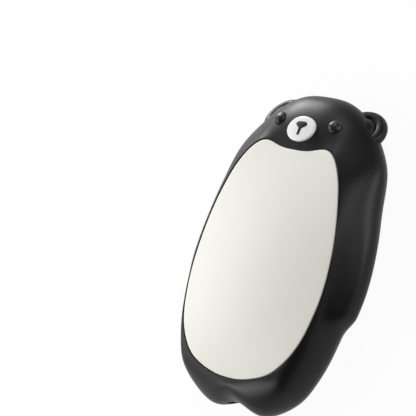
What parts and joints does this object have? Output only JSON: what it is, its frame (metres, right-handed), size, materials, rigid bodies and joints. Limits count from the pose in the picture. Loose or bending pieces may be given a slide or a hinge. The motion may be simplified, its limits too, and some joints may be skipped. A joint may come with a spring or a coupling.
{
  "type": "rechargeable hand warmer",
  "caption": "Palm-sized rechargeable hand warmer shaped as a plain little bear, with a domed warming plate on the belly and a muzzle that presses in as the power button.",
  "frame": {"origin": "on the flat back, below the middle of the body's length and width", "axes": "+Z out of the belly, +Y towards the head, +X to the right of someone who looks at the face"},
  "size_m": [0.067, 0.0996, 0.0183],
  "materials": {
    "soft_touch_black": "soft-touch matte",
    "ivory_plate": "satin coated",
    "white_cap": "satin",
    "black_gloss": "polished",
    "gasket_grey": "matte",
    "amber_film": "glossy film",
    "foam_white": "open cell",
    "pouch_silver": "laminated foil",
    "pad_grey": "matte",
    "board_green": "solder mask",
    "socket_steel": "plated",
    "black_resin": "moulded",
    "ferrite": "sintered",
    "ceramic_tan": "fired",
    "nylon_white": "moulded",
    "lamp_clear": "moulded",
    "lead_red": "extruded",
    "lead_black": "extruded",
    "lead_white": "extruded",
    "magnet_nickel": "plated",
    "screw_steel": "blackened"
  },
  "bodies": {
    "housing": {"body_shell": "soft_touch_black", "rear_cover": "soft_touch_black", "belly_plate": "ivory_plate", "eye_left": "black_gloss", "eye_right": "black_gloss", "plate_gasket": "gasket_grey", "heating_film": "amber_film", "insulation_foam": "foam_white", "battery_cell": "pouch_silver", "battery_pad": "pad_grey", "battery_board": "board_green", "main_board": "board_green", "button_board": "board_green", "usb_shell": "socket_steel", "usb_tongue": "black_resin", "control_chip": "black_resin", "switch_body": "black_resin", "thermistor": "black_resin", "inductor": "ferrite", "capacitors": "ceramic_tan", "battery_socket": "nylon_white", "indicator_leds": "lamp_clear", "battery_lead_red": "lead_red", "battery_lead_black": "lead_black", "button_cable": "lead_black", "heater_lead_left": "lead_white", "heater_lead_right": "lead_white", "magnets": "magnet_nickel", "cover_screws": "screw_steel", "board_screws": "screw_steel"},
    "power_button": {"muzzle_button": "white_cap", "nose_inlay": "black_gloss"},
    "plunger": {"switch_plunger": "nylon_white"}
  },
  "joints": [
    {"name": "button_press", "type": "slide", "parent": "housing", "child": "power_button", "axis": [0, 0, -1], "range_m": [0, 0.0004], "stiffness_N_per_m": 1500, "springref_m": -0.0003},
    {"name": "plunger_press", "type": "slide", "parent": "housing", "child": "plunger", "axis": [0, 0, -1], "range_m": [0, 0.0004]}
  ],
  "couplings": [
    {"joint": "plunger_press", "follows": "button_press", "ratio": 1}
  ]
}
